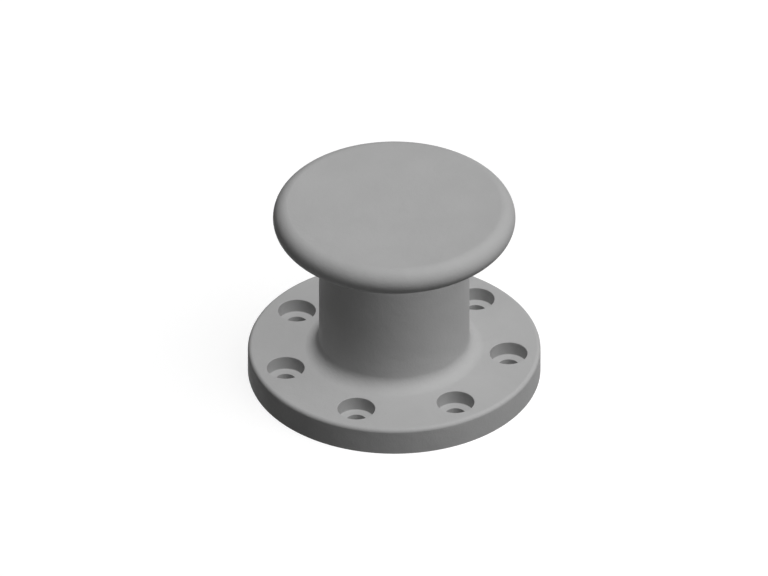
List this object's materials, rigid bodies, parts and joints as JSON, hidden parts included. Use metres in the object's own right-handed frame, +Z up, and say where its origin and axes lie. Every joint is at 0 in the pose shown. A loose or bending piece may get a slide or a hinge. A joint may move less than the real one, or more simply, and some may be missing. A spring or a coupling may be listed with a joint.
{
  "type": "mooring pillar bollard",
  "caption": "Hollow cast iron quay bollard: round bolted flange with counterbored holes, plain round column and a flat disc head with a full-round rim.",
  "frame": {"origin": "centre of the flange's base face, on the bollard's axis", "axes": "+Z up along the bollard's axis, from the flange to the head; +Y through the first anchor bolt hole"},
  "size_m": [0.7, 0.6998, 0.48],
  "materials": {
    "grey_cast_iron": "matte"
  },
  "bodies": {
    "root": {"bollard_casting": "grey_cast_iron"}
  },
  "joints": []
}
